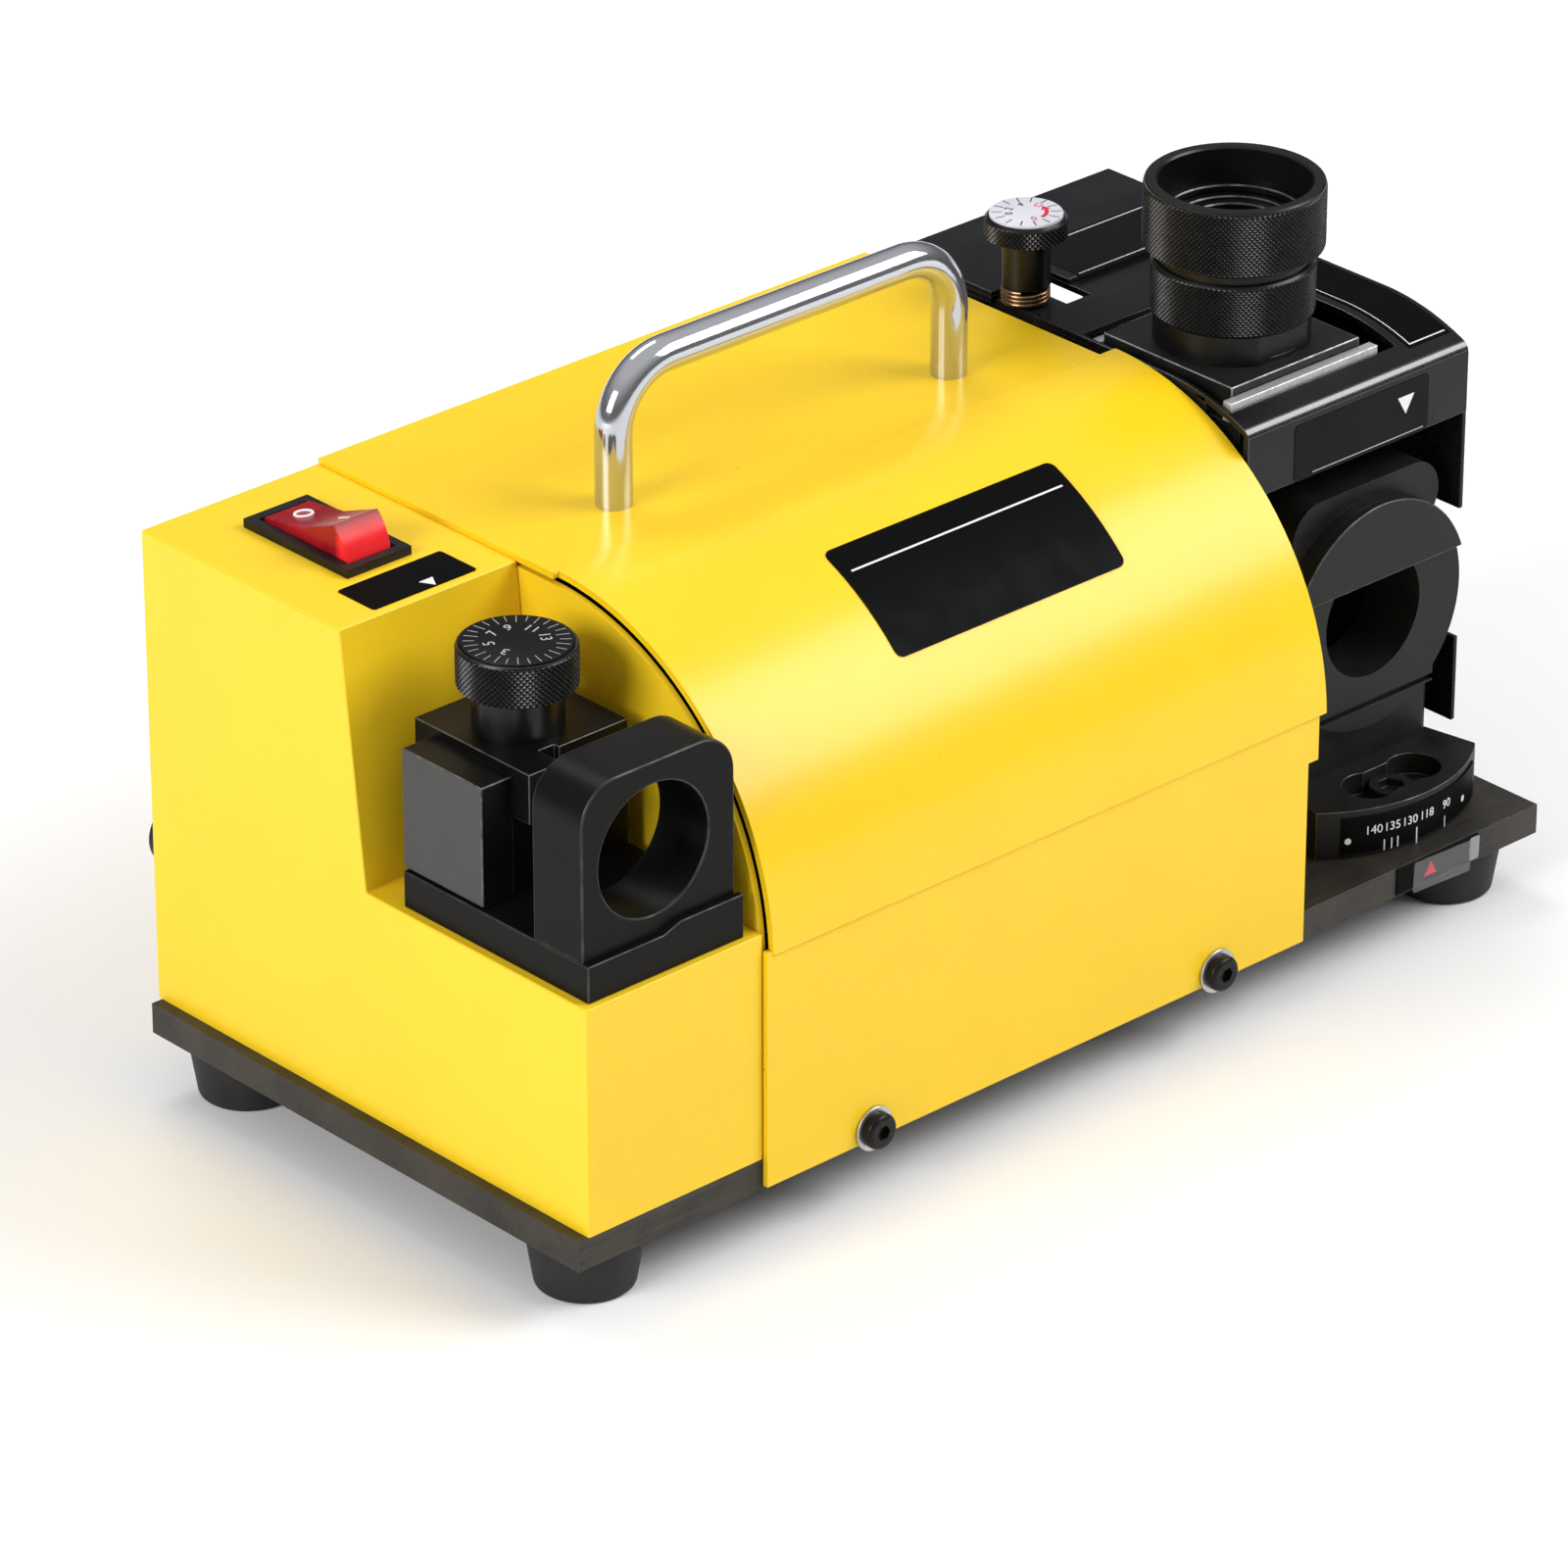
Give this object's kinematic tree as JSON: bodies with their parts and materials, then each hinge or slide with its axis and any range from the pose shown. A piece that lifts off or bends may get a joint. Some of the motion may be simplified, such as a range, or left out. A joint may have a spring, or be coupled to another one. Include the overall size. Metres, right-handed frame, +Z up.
{
  "type": "drill bit sharpener",
  "caption": "Bench drill bit sharpener: hooded motor, carrying handle, bevelled wheel in an open black head with splitting port and swivelling angle port, web gauge",
  "frame": {"origin": "centre of the footprint, on the surface the rubber feet stand on", "axes": "+X runs along the length to the grinding head, -Y faces the operator, +Z is up"},
  "size_m": [0.28, 0.1444, 0.1655],
  "materials": {
    "yellow_paint": "fine textured yellow powder coat",
    "black_paint": "satin black powder coat",
    "plate_steel": "dark ground and blackened steel",
    "black_oxide": "black oxide machined steel",
    "bright_steel": "bright turned steel",
    "zinc": "zinc plated",
    "chrome_rod": "polished chrome",
    "rubber_black": "matte black rubber",
    "plastic_black": "moulded black plastic",
    "plastic_red": "translucent red rocker",
    "plastic_white": "off-white plastic",
    "alloy": "plain aluminium",
    "motor_iron": "grey motor casing",
    "abrasive": "electroplated abrasive grit",
    "label_black": "bare black printed film",
    "label_white": "white dial film with plain numbers",
    "copper_wire": "copper-coated spring wire"
  },
  "bodies": {
    "base": {"base_plate": "plate_steel", "rubber_feet": "rubber_black", "foot_screws": "black_oxide", "plate_screws": "black_oxide", "electrical_box": "yellow_paint", "switch_frame": "plastic_black", "switch_body": "plastic_black", "power_inlet": "plastic_black", "terminal_block": "plastic_white", "motor_capacitor": "alloy", "hood": "yellow_paint", "hood_screws": "black_oxide", "hood_washers": "zinc", "left_end_panel": "yellow_paint", "right_end_panel": "yellow_paint", "front_plate": "label_black", "web_plate": "label_black", "handle": "chrome_rod", "handle_nuts": "zinc", "motor_body": "motor_iron", "motor_left_bell": "alloy", "motor_right_bell": "alloy", "motor_cradle": "motor_iron", "left_bearing": "bright_steel", "right_bearing": "bright_steel", "head_frame": "black_paint", "head_cover": "black_paint", "head_lid": "black_paint", "port_bed": "black_paint", "port_rails": "bright_steel", "depth_spring": "copper_wire", "depth_post": "black_oxide", "swivel_pin": "bright_steel", "index_plate": "label_black", "gauge_base": "black_oxide", "gauge_ring": "black_oxide", "gauge_housing": "black_oxide"},
    "rotor": {"motor_shaft": "bright_steel", "cooling_fan": "plastic_black", "wheel_hub": "bright_steel", "grinding_wheel": "abrasive", "wheel_nut": "bright_steel"},
    "switch_rocker": {"switch_rocker": "plastic_red"},
    "port_slide": {"port_plate": "black_oxide"},
    "port_bush": {"port_bush": "black_oxide"},
    "chuck": {"chuck_body": "black_oxide"},
    "chuck_cap": {"chuck_cap": "black_oxide"},
    "collet": {"collet": "bright_steel"},
    "depth_knob": {"depth_knob": "black_oxide", "depth_dial": "label_white"},
    "angle_port": {"swivel_base": "black_oxide", "angle_port": "black_oxide", "stop_plate": "black_oxide", "angle_scale": "label_black", "swivel_screw": "black_oxide"},
    "gauge_knob": {"gauge_knob": "black_oxide", "gauge_dial": "label_black", "gauge_spindle": "bright_steel"},
    "gauge_jaw": {"gauge_jaw": "black_oxide"}
  },
  "joints": [
    {"name": "rotor_spin", "type": "hinge", "parent": "base", "child": "rotor", "pos_m": [0.101, 0.011, 0.068], "axis": [1, 0, 0], "continuous": true},
    {"name": "switch_tilt", "type": "hinge", "parent": "base", "child": "switch_rocker", "pos_m": [-0.1125, 0.039, 0.1277], "axis": [1, 0, 0], "range_deg": [0, 30]},
    {"name": "port_slide", "type": "slide", "parent": "base", "child": "port_slide", "axis": [1, 0, 0], "range_m": [0, 0.003]},
    {"name": "bush_turn", "type": "hinge", "parent": "port_slide", "child": "port_bush", "pos_m": [0.0946, -0.0147, 0.129], "axis": [0, 0, 1], "range_deg": [-90, 90]},
    {"name": "chuck_lift", "type": "slide", "parent": "port_bush", "child": "chuck", "axis": [0, 0, 1], "range_m": [0, 0.04]},
    {"name": "cap_turn", "type": "hinge", "parent": "chuck", "child": "chuck_cap", "pos_m": [0.0946, -0.0147, 0.158], "axis": [0, 0, 1], "range_deg": [0, 360]},
    {"name": "collet_draw", "type": "slide", "parent": "chuck", "child": "collet", "axis": [0, 0, -1], "range_m": [0, 0.0015]},
    {"name": "depth_turn", "type": "hinge", "parent": "base", "child": "depth_knob", "pos_m": [0.076, 0.0295, 0.146], "axis": [0, 0, 1], "range_deg": [0, 270]},
    {"name": "angle_swivel", "type": "hinge", "parent": "base", "child": "angle_port", "pos_m": [0.11, -0.0235, 0.02], "axis": [0, 0, 1], "range_deg": [-14, 11]},
    {"name": "gauge_turn", "type": "hinge", "parent": "base", "child": "gauge_knob", "pos_m": [-0.1125, -0.0197, 0.118], "axis": [0, 0, 1], "range_deg": [0, 300]},
    {"name": "jaw_slide", "type": "slide", "parent": "base", "child": "gauge_jaw", "axis": [-1, 0, 0], "range_m": [0, 0.004]}
  ],
  "couplings": [
    {"joint": "gauge_turn", "follows": "jaw_slide", "rad_per_m": 1309},
    {"joint": "depth_turn", "follows": "port_slide", "rad_per_m": 1570.8},
    {"joint": "cap_turn", "follows": "collet_draw", "rad_per_m": 4188.8}
  ]
}
